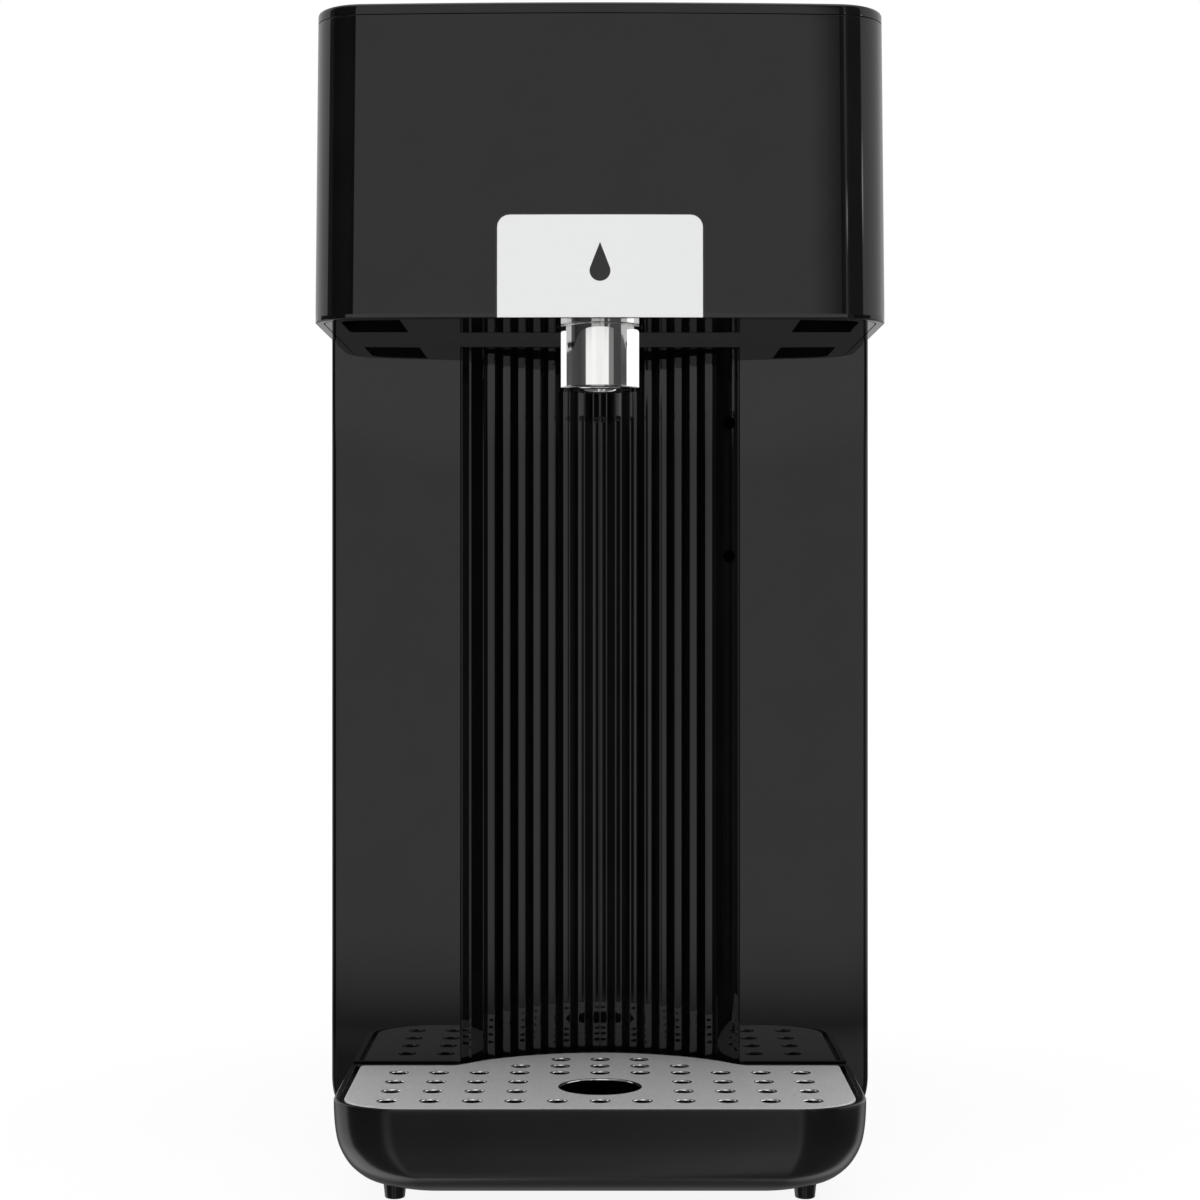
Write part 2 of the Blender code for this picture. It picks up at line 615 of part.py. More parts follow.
turned("thermal_cutout", [(0, 17.4), (8.0, 17.4), (8.0, 19.4), (6.0, 20.4), (6.0, 24.0), (0, 24.0)],
       (HEATER_X, HEATER_Y, 150.0), BRASS, HOUSING, axis=(0, -1, 0), steps=16)
turned("temperature_probe", [(0, 18.9), (2.6, 18.9), (2.6, 26.0), (1.0, 29.0), (0, 29.0)],
       (HEATER_X, HEATER_Y, 186.0), BRASS, HOUSING, axis=(-1, 0, 0), steps=12)

# ---- power electronics ----------------------------------------------------
block("power_board", (66.0, 67.6), (-34.0, 24.0), (60.0, 206.0), BOARD, HOUSING)
block("power_relay", (50.0, 65.7), (-12.0, 8.0), (112.0, 142.0), MATT, HOUSING, bevel=0.8)
fins = [(65.7, -24.0)]
for n in range(6):
    y = -24.0 + 6.4 * n
    fins += [(47.0, y), (47.0, y + 2.0)]
    if n < 5:
        fins += [(60.0, y + 2.0), (60.0, y + 6.4)]
fins += [(65.7, -24.0 + 6.4 * 5 + 2.0)]
prism("heat_sink", fins, 152.0, 196.0, ALLOY, HOUSING)

# ================================ dock ========================================
dock_right = [(72.1, 40.0)] + arc(72.1 - 15, 120.0 - 15, 15, 15, 0, 90, 5)
dock_plate = prism("dock_plate", mirrored([(72.1, 36.4)] + dock_right[1:]), 20.9, 23.9,
                   MATT, HOUSING)
cut(dock_plate, turned("cut_dock_hole", [(0, 15), (11.4, 15), (11.4, 28), (0, 28)],
                       (0, VALVE_Y, 0), parent=HOUSING))
socket = turned("inlet_socket",
                [(0, 15.0), (1.8, 15.0), (1.8, 11.0), (9.0, 11.0), (9.0, 23.6), (11.0, 23.6),
                 (11.0, 20.5), (15.0, 20.5), (15.0, 18.2), (11.0, 18.2), (11.0, 8.5), (0, 8.5)],
                (0, VALVE_Y, 0), WHITE, HOUSING)
join(socket, turned("add_socket_barb", [(0, 10.0), (3.2, 10.0), (3.2, 20.0), (0, 20.0)],
                    (0, VALVE_Y, 13.4), axis=(0, -1, 0), steps=12, parent=HOUSING))
turned("socket_seal", [(7.75, 18.6), (8.65, 18.6), (8.65, 20.8), (7.75, 20.8)],
       (0, VALVE_Y, 0), SILICONE, HOUSING, ring=True)

# ---- hoses, each held at both ends ------------------------------------------
tube("inlet_hose", smooth_route([(0, 59.5, 13.4), (0.4, 50, 13.4), (17, 18, 13.6),
                                 (37, 0, 15.0), (40, -5, 22.0), (40, -5, 30.8)]),
     4.4, SILICONE, HOUSING)
tube("pump_hose", smooth_route([(13.7, -5, 47), (2, -5, 46), (-14, -5, 38), (-28, -4.5, 34.5),
                                (-35, -4, 36.5), (-36, -4, 42.7)]), 4.4, SILICONE, HOUSING)
tube("hot_hose", smooth_route([(-36, -4, 199.3), (-36, -5, 214), (-31, -18, 240),
                               (-14, -44, 253), (-2, -58, 255), (0, -70.4, 255)]),
     4.4, SILICONE, HOUSING)

# ================================ tank ========================================
levels = ((TANK_Z, 4.5), (25.4, 1.8), (28.3, 0.3), (34.0, 0.0), (TANK_RIM, 0.0))
rings = [at_height(tank_outline(i), z) for z, i in levels]
inside = ((TANK_RIM, TANK_WALL), (31.0, TANK_WALL), (28.4, 3.4), (27.2, 5.6))
rings += [at_height(tank_outline(i), z) for z, i in inside]
tank_shell = stack("tank_shell", rings, SMOKE, TANK)
cut(tank_shell, turned("cut_tank_floor", [(0, 20), (7.8, 20), (7.8, 32), (0, 32)],
                       (0, VALVE_Y, 0), parent=TANK))
deck = [(TANK_HALF - 1.2, 114.0)] + arc(TANK_HALF - TANK_R, BACK_Y - TANK_R, TANK_R - 1.2,
                                        TANK_R - 1.2, 10, 90, 5)
join(tank_shell, prism("add_hinge_deck", mirrored(deck), 299.2, 302.6, parent=TANK))
for side, word in ((-1, "left"), (1, "right")):
    x0, x1 = sorted((26.0 * side, 40.0 * side))
    ear = ([(HINGE_Y + 4.2, 301.0)] + arc(HINGE_Y, HINGE_Z, HINGE_R, HINGE_R, 0, 180, 8)
           + [(HINGE_Y - 4.2, 301.0)])
    join(tank_shell, prism(f"add_ear_{word}", ear, x0, x1, axis="x", parent=TANK))
cut(tank_shell, turned("cut_pin_bore", [(0, -50), (1.8, -50), (1.8, 50), (0, 50)],
                       (0, HINGE_Y, HINGE_Z), axis=(1, 0, 0), steps=12, parent=TANK))
turned("lid_hinge_pin", [(0, -41.5), (1.5, -41.5), (1.5, 41.5), (0, 41.5)],
       (0, HINGE_Y, HINGE_Z), STEEL, TANK, axis=(1, 0, 0), steps=12)

turned("tank_valve_body",
       [(3.4, 13.0), (7.4, 13.0), (7.4, 27.5), (14.0, 27.5), (14.0, 30.0), (7.4, 30.0), (7.4, 40.0),
        (5.5, 40.0), (5.5, 15.0), (3.4, 15.0)],
       (0, VALVE_Y, 0), MATT, TANK, ring=True)
turned("valve_guide", [(2.0, 40.3), (7.4, 40.3), (7.4, 42.0), (2.0, 42.0)],
       (0, VALVE_Y, 0), MATT, TANK, ring=True)
turned("valve_poppet", [(0, 15.3), (4.8, 15.3), (4.8, 17.0), (1.5, 17.6), (1.5, 44.0), (0, 44.0)],
       (0, VALVE_Y, 0), WHITE, POPPET, steps=16)
SPRING_LOW, SPRING_HIGH, SPRING_TURNS = 18.6, 39.6, 6
coil = []
for k in range(SPRING_TURNS * 12 + 1):
    turn = 2 * math.pi * k / 12
    z = SPRING_LOW + (SPRING_HIGH - SPRING_LOW) * k / (SPRING_TURNS * 12)
    coil.append((3.4 * math.cos(turn), VALVE_Y + 3.4 * math.sin(turn), z))
tube("valve_spring", coil, 0.4, STEEL, TANK, resolution=0)
turned("tank_filter",
       [(0, 52.4), (14.4, 50.6), (14.4, 30.3), (16.0, 30.3), (16.0, 52.0), (0, 54.0)],
       (0, VALVE_Y, 0), WHITE, TANK)
turned("float_guide", [(0, 27.5), (7.0, 27.5), (7.0, 29.0), (2.2, 29.0), (2.2, 61.0), (4.6, 61.0),
                       (4.6, 62.6), (0, 62.6)],
       (FLOAT_X, FLOAT_Y, 0), MATT, TANK, steps=16)
turned("level_float", [(2.7, 29.3), (9.0, 29.3), (9.0, 43.5), (2.7, 43.5)],
       (FLOAT_X, FLOAT_Y, 0), WHITE, FLOAT, steps=16, ring=True)


def lid_outline(inset):
    half, front, rear = TANK_HALF - inset, TANK_FRONT + inset, 113.4 - inset
    small, big = max(4.0 - inset, 1.0), max(9.0 - inset, 2.0)
    return mirrored(arc(half - small, front + small, small, small, -90, 0, 2)
                    + arc(half - big, rear - big, big, big, 0, 90, 4))


rings = [at_height(lid_outline(i), z) for z, i in
         ((TANK_RIM + GAP, 0.0), (310.6, 0.0), (311.6, 0.5), (TOP_Z, 1.5))][::-1]
rings += [at_height(lid_outline(2.2), z) for z in (TANK_RIM + GAP, 309.4)]
tank_lid = stack("tank_lid", rings, GLOSS, LID)
web = ([(111.0, 305.0), (HINGE_Y - 1.0, HINGE_Z - HINGE_R + 0.1)]
       + arc(HINGE_Y, HINGE_Z, HINGE_R, HINGE_R, -70, 90, 8) + [(111.0, 311.0)])
join(tank_lid, prism("add_lid_knuckle", web, -25.5, 25.5, axis="x", parent=LID))
cut(tank_lid, turned("cut_lid_bore", [(0, -30), (1.8, -30), (1.8, 30), (0, 30)],
                     (0, HINGE_Y, HINGE_Z), axis=(1, 0, 0), steps=12, parent=LID))

# ================================ drip tray ===================================
side_curve = ((4.0, 18.5), (4.5, 15.2), (6.5, 9.2), (9.0, 5.7), (12.0, 3.2), (16.0, 1.3),
              (20.0, 0.45), (TRAY_TOP, 0.0))
rings = []
for z, off in side_curve:
    corner = (max(TRAY_CORNER[0] - 0.5 * off, 8), max(TRAY_CORNER[1] - 0.4 * off, 7))
    rings.append(at_height(tray_outline(TRAY_HALF - off, FRONT_Y + 0.8 * off, 1.5, corner), z))
LEDGE_Z = TRAY_TOP - GRILLE_T - GAP
inner = ((TRAY_TOP, 1.6, 0.6, 0.4), (LEDGE_Z, 1.6, 0.6, 0.4), (LEDGE_Z - 0.01, 3.2, 2.4, -0.6),
         (17.0, 3.6, 2.8, -0.6), (11.0, 7.6, 6.0, -0.6), (7.4, 14.0, 11.5, -0.6))
for z, off, front_off, rear in inner:
    corner = (max(TRAY_CORNER[0] - 0.6 * off, 7), max(TRAY_CORNER[1] - 0.5 * off, 6))
    rings.append(at_height(tray_outline(TRAY_HALF - off, FRONT_Y + front_off, rear, corner), z))
drip_tray = stack("drip_tray", rings, GLOSS, TRAY)
for side, word in ((-1, "left"), (1, "right")):
    join(drip_tray, turned(f"add_peg_{word}", [(0, 0), (2.65, 0), (3.1, 5.0), (3.1, 6.2), (0, 6.2)],
                           (PEG_X * side, PEG_Y, 0), steps=16, parent=TRAY))

grille_corner = (TRAY_CORNER[0] - 2.0, TRAY_CORNER[1] - 1.0)
drip_grille = prism("drip_grille",
                    tray_outline(GRILLE_HALF, GRILLE_FRONT, 0.0, grille_corner, 1.2),
                    TRAY_TOP - GRILLE_T, TRAY_TOP, STEEL, GRILLE)
rows = ((51.4, range(0, 6)), (38.9, range(2, 6)), (26.5, range(2, 6)), (14.1, range(0, 6)),
        (4.6, range(0, 3)), (-5.2, range(0, 2)))
spots = []
for ahead, columns in rows:
    for n in columns:
        for side in ((1,) if n == 0 else (1, -1)):
            spots.append((side * n * HOLE_PITCH, PANEL_Y - ahead))
punch = bmesh.new()
for (x, y), radius, count in [(s, HOLE_R, 8) for s in spots] + [((0, DRAIN_Y), DRAIN_R, 24)]:
    rings = [[punch.verts.new((x + radius * math.cos(2 * math.pi * (k + 0.5) / count),
                               y + radius * math.sin(2 * math.pi * (k + 0.5) / count), z))
              for k in range(count)] for z in (TRAY_TOP - 4, TRAY_TOP + 4)]
    for k in range(count):
        m = (k + 1) % count
        punch.faces.new((rings[0][k], rings[0][m], rings[1][m], rings[1][k]))
    punch.faces.new(rings[0][::-1])
    punch.faces.new(rings[1])
cut(drip_grille, finish("cut_grille_holes", punch, None, GRILLE))
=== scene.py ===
"""Looks of the countertop water dispenser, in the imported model's frame (metres, front towards -Y)."""
import json
import math

import bmesh
import bpy
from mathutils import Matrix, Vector

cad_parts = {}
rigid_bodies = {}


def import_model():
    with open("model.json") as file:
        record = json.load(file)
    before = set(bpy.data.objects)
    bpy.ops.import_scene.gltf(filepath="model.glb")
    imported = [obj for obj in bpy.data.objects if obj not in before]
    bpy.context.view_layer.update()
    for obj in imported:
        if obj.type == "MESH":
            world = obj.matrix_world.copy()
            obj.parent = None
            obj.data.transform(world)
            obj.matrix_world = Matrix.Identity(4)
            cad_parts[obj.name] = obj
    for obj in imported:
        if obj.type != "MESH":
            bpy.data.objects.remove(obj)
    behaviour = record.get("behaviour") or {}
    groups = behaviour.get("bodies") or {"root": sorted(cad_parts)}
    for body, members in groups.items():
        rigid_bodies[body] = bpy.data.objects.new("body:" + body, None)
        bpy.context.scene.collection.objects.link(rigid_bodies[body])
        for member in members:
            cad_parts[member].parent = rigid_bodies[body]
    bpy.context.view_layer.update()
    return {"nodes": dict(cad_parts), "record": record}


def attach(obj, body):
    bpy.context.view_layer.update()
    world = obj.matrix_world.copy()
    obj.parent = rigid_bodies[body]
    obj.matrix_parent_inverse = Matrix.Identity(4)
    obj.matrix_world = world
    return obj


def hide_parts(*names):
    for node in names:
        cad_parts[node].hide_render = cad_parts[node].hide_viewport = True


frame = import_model()
MM = 0.001
scene = bpy.context.scene
for old in list(bpy.data.objects):
    if old.type in {"CAMERA", "LIGHT"} or old.name == "Cube":
        bpy.data.objects.remove(old, do_unlink=True)

# ---- dimensions shared with the CAD (millimetres) -------------------------------
HALF_W, TOP_Z = 75.0, 312.0
PANEL_Y, PANEL_T, COLUMN_BACK = -63.0, 2.5, 35.5
SEAM_Z, PAN_Z, PAN_R, PAN_WALL, PAN_BACK = 24.0, 4.0, 20.0, 2.4, 123.0
ALCOVE_HALF, ALCOVE_TOP, FASCIA_TOP = 38.8, 229.1, 227.75
RIB_PITCH, RIB_COUNT, RIB_R, RIB_DEPTH, RIB_GROOVE = 4.25, 8, 46.0, 21.0, 1.8
FLANK = ((2.8, 38.65), (3.5, 37.75), (3.7, 37.1), (6.4, 34.6), (9.6, 32.35))
RIB_VEE = 1.06
HEAD_Z, HEAD_FRONT, HEAD_R, HEAD_BULGE_R = 230.0, -115.7, 13.3, 1000.0
HEAD_NARROW, HEAD_LEAN, HEAD_WALL, HEAD_TOP, PLATE_Z = 0.6, 1.8, 2.2, 308.8, 309.1
BADGE_HALF, BADGE_TOP, BADGE_R = 26.55, 256.7, 3.2
SPOUT_Y, SPOUT_R, SPOUT_LIP_R, SPOUT_Z, COLLAR_R = -95.3, 10.375, 11.1, 213.3, 14.0
FRONT_Y, TRAY_HALF, TRAY_TOP, TRAY_CORNER = -125.0, 69.2, 28.0, (19.0, 15.3)
GRILLE_HALF, GRILLE_FRONT, GRILLE_REAR, GRILLE_T = 66.4, -124.1, -66.5, 1.0
BULGE_R, BULGE_DEPTH = 52.0, 15.2
HOLE_PITCH, DRAIN_R, DRAIN_Y = 11.0, 10.65, -95.8
PEG_X, PEG_Y = 54.0, -105.0
TANK_HALF, TANK_FRONT, BACK_Y, TANK_R, TANK_WALL = 73.5, 36.6, 125.0, 18.0, 2.4


# ============================ materials ==========================================
def shader_tree(name):
    made = bpy.data.materials.new(name)
    made.use_nodes = True
    tree = made.node_tree
    bsdf = tree.nodes["Principled BSDF"]
    coords = tree.nodes.new("ShaderNodeTexCoord")
    return made, tree, bsdf, coords.outputs["Object"]


def noise(tree, coords, scale, detail=3.0, stretch=None, rough=0.5):
    if stretch:
        mapping = tree.nodes.new("ShaderNodeMapping")
        mapping.inputs["Scale"].default_value = stretch
        tree.links.new(coords, mapping.inputs["Vector"])
        coords = mapping.outputs["Vector"]
    made = tree.nodes.new("ShaderNodeTexNoise")
    made.inputs["Scale"].default_value = scale
    made.inputs["Detail"].default_value = detail
    made.inputs["Roughness"].default_value = rough
    tree.links.new(coords, made.inputs["Vector"])
    return made.outputs["Fac"]


def spread(tree, value, low, high, dest, start=0.3, end=0.7):
    made = tree.nodes.new("ShaderNodeMapRange")
    made.inputs["From Min"].default_value = start
    made.inputs["From Max"].default_value = end
    made.inputs["To Min"].default_value = low
    made.inputs["To Max"].default_value = high
    tree.links.new(value, made.inputs["Value"])
    tree.links.new(made.outputs["Result"], dest)


def tint(tree, value, dark, light, dest, start=0.35, end=0.65):
    ramp = tree.nodes.new("ShaderNodeValToRGB")
    ramp.color_ramp.elements[0].position = start
    ramp.color_ramp.elements[0].color = (*dark, 1)
    ramp.color_ramp.elements[1].position = end
    ramp.color_ramp.elements[1].color = (*light, 1)
    tree.links.new(value, ramp.inputs["Fac"])
    tree.links.new(ramp.outputs["Color"], dest)


def relief(tree, value, bsdf, strength, distance):
    bump = tree.nodes.new("ShaderNodeBump")
    bump.inputs["Strength"].default_value = strength
    bump.inputs["Distance"].default_value = distance
    tree.links.new(value, bump.inputs["Height"])
    tree.links.new(bump.outputs["Normal"], bsdf.inputs["Normal"])


def gloss_black(name, ior=1.5, peel=0.004, rough=(0.014, 0.028)):
    made, tree, bsdf, co = shader_tree(name)
    tint(tree, noise(tree, co, 60, 4), (0.0022, 0.0022, 0.0024), (0.0032, 0.0032, 0.0035),
         bsdf.inputs["Base Color"])
    spread(tree, noise(tree, co, 34, 5, rough=0.6), rough[0], rough[1], bsdf.inputs["Roughness"])
    bsdf.inputs["IOR"].default_value = ior
    relief(tree, noise(tree, co, 420, 2), bsdf, peel, 0.00002)
    return made


def moulded(name, dark, light, rough=(0.42, 0.58), grain=1900, depth=0.00004, strength=0.35,
            ior=1.48):
    made, tree, bsdf, co = shader_tree(name)
    tint(tree, noise(tree, co, 45, 4), dark, light, bsdf.inputs["Base Color"])
    spread(tree, noise(tree, co, 120, 3), rough[0], rough[1], bsdf.inputs["Roughness"])
    bsdf.inputs["IOR"].default_value = ior
    relief(tree, noise(tree, co, grain, 3), bsdf, strength, depth)
    return made


def metal(name, dark, light, rough, stretch=None, grain=700, depth=0.000006, strength=0.2,
          metallic=1.0):
    made, tree, bsdf, co = shader_tree(name)
    lines = noise(tree, co, grain, 4, stretch)
    tint(tree, lines, dark, light, bsdf.inputs["Base Color"])
    spread(tree, lines, rough[0], rough[1], bsdf.inputs["Roughness"])
    bsdf.inputs["Metallic"].default_value = metallic
    relief(tree, lines, bsdf, strength, depth)
    return made


def clear(name, colour, rough=(0.02, 0.06), ior=1.49):
    made, tree, bsdf, co = shader_tree(name)
    tint(tree, noise(tree, co, 25, 3), [c * 0.93 for c in colour], colour,
         bsdf.inputs["Base Color"])
    spread(tree, noise(tree, co, 40, 4), rough[0], rough[1], bsdf.inputs["Roughness"])
    bsdf.inputs["Transmission Weight"].default_value = 0.92
    bsdf.inputs["IOR"].default_value = ior
    return made


def board(name):
    made, tree, bsdf, co = shader_tree(name)
    cells = tree.nodes.new("ShaderNodeTexBrick")
    cells.inputs["Scale"].default_value = 160
    cells.inputs["Color1"].default_value = (0.012, 0.09, 0.035, 1)
    cells.inputs["Color2"].default_value = (0.016, 0.12, 0.045, 1)
    cells.inputs["Mortar"].default_value = (0.03, 0.2, 0.08, 1)
    cells.inputs["Mortar Size"].default_value = 0.06
    tree.links.new(co, cells.inputs["Vector"])
    tree.links.new(cells.outputs["Color"], bsdf.inputs["Base Color"])
    spread(tree, noise(tree, co, 300, 2), 0.25, 0.4, bsdf.inputs["Roughness"])
    return made


GLOSS = gloss_black("gloss_black_fine")
GLOSS_RIB = gloss_black("gloss_black_ribs")
GLOSS_TRAY = gloss_black("satin_black_tray", rough=(0.15, 0.2))
MATT = moulded("matt_black_grain", (0.012, 0.012, 0.013), (0.02, 0.02, 0.021))
BADGE = metal("satin_badge_fine", (0.835, 0.84, 0.845), (0.85, 0.855, 0.86), (0.3, 0.36),
              stretch=(0.05, 1, 1), grain=2600, strength=0.015, metallic=0.12)
# dark print on the badge; the same dark material is also used as painted shade in the gap around the badge
INK_AND_GAP_SHADE = moulded("badge_ink_and_gap_shade", (0.02, 0.02, 0.022), (0.03, 0.03, 0.032), (0.4, 0.5), strength=0.1)
CHROME = metal("polished_chrome", (0.9, 0.9, 0.89), (0.94, 0.94, 0.93), (0.05, 0.065), grain=90,
               strength=0.01)
STEEL = metal("satin_steel", (0.70, 0.70, 0.71), (0.77, 0.77, 0.78), (0.36, 0.46),
              stretch=(1, 0.12, 1), grain=2600, strength=0.12, depth=0.00001, metallic=0.3)
LIP = metal("rolled_steel", (0.8, 0.8, 0.8), (0.88, 0.88, 0.88), (0.1, 0.13), grain=900,
            strength=0.02)
BRIGHT = metal("turned_steel", (0.5, 0.49, 0.48), (0.62, 0.61, 0.6), (0.2, 0.32),
               stretch=(1, 1, 6), grain=500)
SMOKE = clear("smoked_tank_clear", (0.30, 0.32, 0.34))
WHITE = moulded("natural_moulding", (0.62, 0.62, 0.60), (0.72, 0.72, 0.70), (0.38, 0.5))
RUBBER = moulded("soft_rubber", (0.012, 0.012, 0.012), (0.02, 0.02, 0.02), (0.7, 0.85), 2600,
                 0.00006, 0.5)
SILICONE = moulded("silicone_satin", (0.55, 0.56, 0.56), (0.66, 0.67, 0.67), (0.3, 0.42),
                   strength=0.15)
BOARD = board("circuit_board_fine")
BRASS = metal("plain_brass", (0.55, 0.38, 0.16), (0.66, 0.48, 0.22), (0.22, 0.36))
ALLOY = metal("satin_alloy", (0.55, 0.56, 0.57), (0.68, 0.69, 0.7), (0.28, 0.4))
WINDOW = moulded("infrared_window", (0.0004, 0.0004, 0.0005), (0.0006, 0.0006, 0.0007), (0.45, 0.5),
                 grain=500, strength=0.02)
WINDOW.node_tree.nodes["Principled BSDF"].inputs["Specular IOR Level"].default_value = 0.0
BY_SLOT = {"gloss_black": GLOSS, "matt_black": MATT, "badge_silver": BADGE, "chrome": CHROME,
           "brushed_steel": BRIGHT, "smoked_clear": SMOKE, "white_plastic": WHITE,
           "rubber": RUBBER, "silicone": SILICONE, "circuit_board": BOARD, "brass": BRASS,
           "aluminium": ALLOY, "sensor_window": WINDOW}
for entry in frame["record"]["subparts"]:
    node = frame["nodes"][entry["node"]]
    look = BY_SLOT[entry["material_slot"]]
    node.data.materials.clear()
    node.data.materials.append(look)


# ============================ mesh helpers =======================================
def finish(name, bm, look, body, stands_for=(), angle=40.0, weighted=True, bevel=0.0,
           segments=3, second=None):
    bmesh.ops.recalc_face_normals(bm, faces=bm.faces)
    for v in bm.verts:
        v.co *= MM
    mesh = bpy.data.meshes.new(name)
    bm.to_mesh(mesh)
    bm.free()
    mesh.shade_smooth()
    mesh.set_sharp_from_angle(angle=math.radians(angle))
    mesh.materials.append(look)
    if second:
        mesh.materials.append(second)
    made = bpy.data.objects.new(name, mesh)
    scene.collection.objects.link(made)
    if bevel:
        edge = made.modifiers.new("edge", "BEVEL")
        edge.width = bevel * MM
        edge.segments = segments
        edge.limit_method = "ANGLE"
        edge.angle_limit = math.radians(40)
    if weighted:
        weight = made.modifiers.new("weighted", "WEIGHTED_NORMAL")
        weight.keep_sharp = True
        weight.weight = 90
    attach(made, body)
    if stands_for:
        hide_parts(*stands_for)
    return made


def stacked(rings, closed=False):
    bm = bmesh.new()
    rows = [[bm.verts.new(p) for p in ring] for ring in rings]
    count = len(rows[0])
    pairs = list(zip(rows, rows[1:]))
    if closed:
        pairs.append((rows[-1], rows[0]))
    for low, high in pairs:
        for i in range(count):
            j = (i + 1) % count
            bm.faces.new((low[i], low[j], high[j], high[i]))
    if not closed:
        bm.faces.new(rows[0][::-1])
        bm.faces.new(rows[-1])
    return bm


def extruded(outline, low, high, axis="z"):
    place = {"z": lambda a, b, c: (a, b, c), "y": lambda a, b, c: (a, c, b),
             "x": lambda a, b, c: (c, a, b)}[axis]
    return stacked([[place(a, b, c) for a, b in outline] for c in (low, high)])


def turned(profile, centre, axis=(0, 0, 1), steps=96, ring=False):
    line = Vector(axis).normalized()
    side = line.orthogonal().normalized() if abs(line.z) < 0.999 else Vector((1, 0, 0))
    other = line.cross(side)
    centre = Vector(centre)
    bm = bmesh.new()
    columns, middle = [], {}
    for s in range(steps):
        turn = 2 * math.pi * s / steps
        out = side * math.cos(turn) + other * math.sin(turn)
        column = []
        for k, (r, h) in enumerate(profile):
            if r < 1e-9:
                if k not in middle:
                    middle[k] = bm.verts.new(centre + line * h)
                column.append(middle[k])
            else:
                column.append(bm.verts.new(centre + line * h + out * r))
        columns.append(column)
    spans = len(profile) if ring else len(profile) - 1
    for s in range(steps):
        a, b = columns[s], columns[(s + 1) % steps]
        for k in range(spans):
            m = (k + 1) % len(profile)
            corners = []
            for v in (a[k], b[k], b[m], a[m]):
                if v not in corners:
                    corners.append(v)
            if len(corners) > 2:
                bm.faces.new(corners)
    return bm


def arc(cx, cy, rx, ry, start, end, count):
    return [(cx + rx * math.cos(math.radians(start + (end - start) * k / count)),
             cy + ry * math.sin(math.radians(start + (end - start) * k / count)))
            for k in range(count + 1)]


def mirrored(half):
    return half + [(-x, y) for x, y in reversed(half)]


def at_height(outline, z):
    return [(x, y, z) for x, y in outline]


def eased(points, per_span=4):
    """Catmull-Rom through a list of tuples."""
    pts = [Vector(p) for p in points]
    pts = [2 * pts[0] - pts[1]] + pts + [2 * pts[-1] - pts[-2]]
    out = []
    for i in range(1, len(pts) - 2):
        a, b, c, d = pts[i - 1:i + 3]
        for k in range(per_span):
            t = k / per_span
            out.append(0.5 * (2 * b + (c - a) * t + (2 * a - 5 * b + 4 * c - d) * t * t
                              + (3 * b - a - 3 * c + d) * t ** 3))
    out.append(pts[-2])
    return [tuple(p) for p in out]


def rounded_line(points, radius, parts=2):
    """The same open line with every inner corner rounded."""
    out = [points[0]]
    for before, here, after in zip(points, points[1:], points[2:]):
        a, b, c = Vector(before), Vector(here), Vector(after)
        reach = min(radius, 0.4 * (a - b).length, 0.4 * (c - b).length)
        p, q = b + (a - b).normalized() * reach, b + (c - b).normalized() * reach
        for k in range(parts + 1):
            t = k / parts
            out.append(tuple((1 - t) ** 2 * p + 2 * t * (1 - t) * b + t * t * q))
    out.append(points[-1])
    return out


# ============================ head ===============================================
def head_front(x, z):
    return (HEAD_FRONT + x * x / (2 * HEAD_BULGE_R)
            + HEAD_LEAN * (z - HEAD_Z) / (TOP_Z - HEAD_Z))


def head_outline(inset, z, back=COLUMN_BACK, back_inset=None):
    half = HALF_W - HEAD_NARROW * (z - HEAD_Z) / (TOP_Z - HEAD_Z) - inset
    radius = max(HEAD_R - inset, 2.0)
    lead = math.asin((half - radius) / HEAD_BULGE_R)
    flat = half - radius + radius * math.sin(lead)
    rear = back - (inset if back_inset is None else back_inset)
    right = [(flat * k / 16, head_front(flat * k / 16, z) + inset) for k in range(1, 16)]
    middle = head_front(flat, z) + inset + radius * math.cos(lead)
    right += arc(half - radius, middle, radius, radius, -90 + math.degrees(lead), 0, 28)
    right += arc(half - 1.5, rear - 1.5, 1.5, 1.5, 0, 90, 4)
    left = [(-x, y) for x, y in reversed(right)]
    return [(0.0, head_front(0, z) + inset)] + right + left


levels = [(0.3, 230.0), (0.09, 230.09), (0.0, 230.3), (0.0, 232.0), (0.0, 306.8),
          (0.0, 308.72), (0.06, 308.86), (0.2, 308.93)]
rings = [at_height(head_outline(i, z), z) for i, z in levels]
rings += [at_height(head_outline(HEAD_WALL, z), z) for z in (308.93, 230.0)]
finish("head_cover", stacked(rings, closed=True), GLOSS, "housing",
       ("head_shell",), angle=60)

levels = [(0.25, 309.0), (0.05, 309.04), (0.0, 309.14), (0.0, 310.2), (0.0, 310.9),
          (0.06, 311.24), (0.2, 311.52), (0.45, 311.76), (0.8, 311.92), (1.25, 312.0)]
finish("touch_plate", stacked([at_height(head_outline(i, z, back_inset=i), z) for i, z in levels]),
       GLOSS, "housing", ("control_panel",), angle=60)


